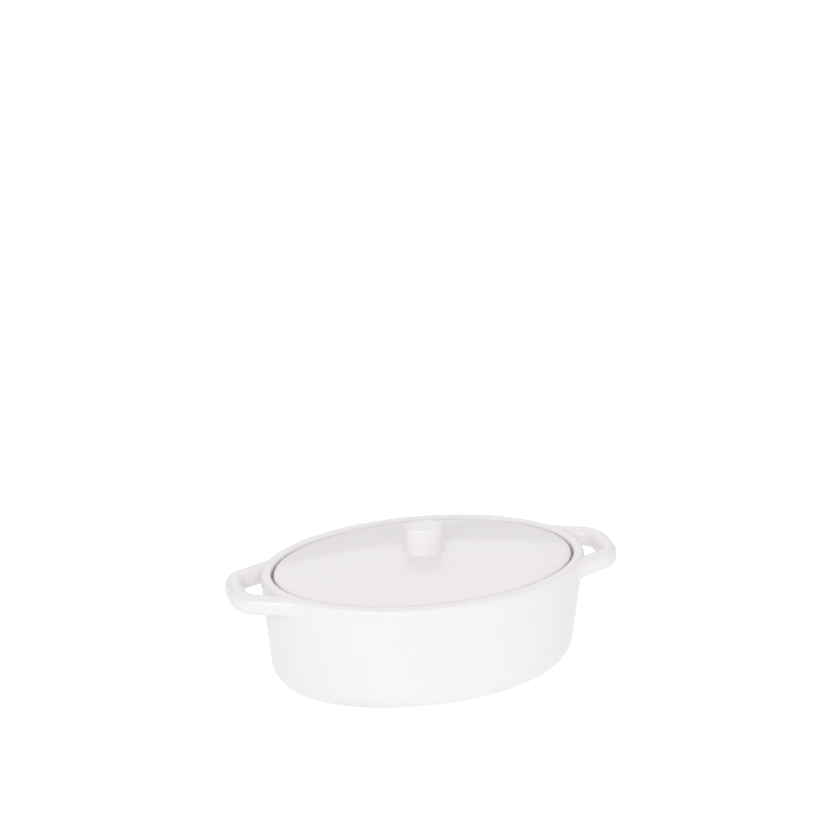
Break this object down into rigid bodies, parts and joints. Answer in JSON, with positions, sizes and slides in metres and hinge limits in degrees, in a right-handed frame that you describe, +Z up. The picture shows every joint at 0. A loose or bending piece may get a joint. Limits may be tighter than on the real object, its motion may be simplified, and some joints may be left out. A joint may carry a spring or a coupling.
{
  "type": "covered casserole dish",
  "caption": "Oval covered casserole in white glazed stoneware: tapered dish with loop handles level with the rim, and a loose inset lid, gently crowned, with a oval knob.",
  "frame": {"origin": "on the table, under the centre of the oval foot", "axes": "+X along the dish from the left handle to the right handle, +Y across it towards its back, +Z up towards the knob"},
  "size_m": [0.17, 0.091, 0.0688],
  "materials": {
    "white_glaze": "glossy"
  },
  "bodies": {
    "dish": {"bowl": "white_glaze", "left_handle": "white_glaze", "right_handle": "white_glaze"},
    "lid": {"lid_plate": "white_glaze", "lid_knob": "white_glaze"}
  },
  "joints": [
    {"name": "lid_lift", "type": "slide", "parent": "dish", "child": "lid", "axis": [0, 0, 1], "range_m": [0, 0.08]}
  ]
}
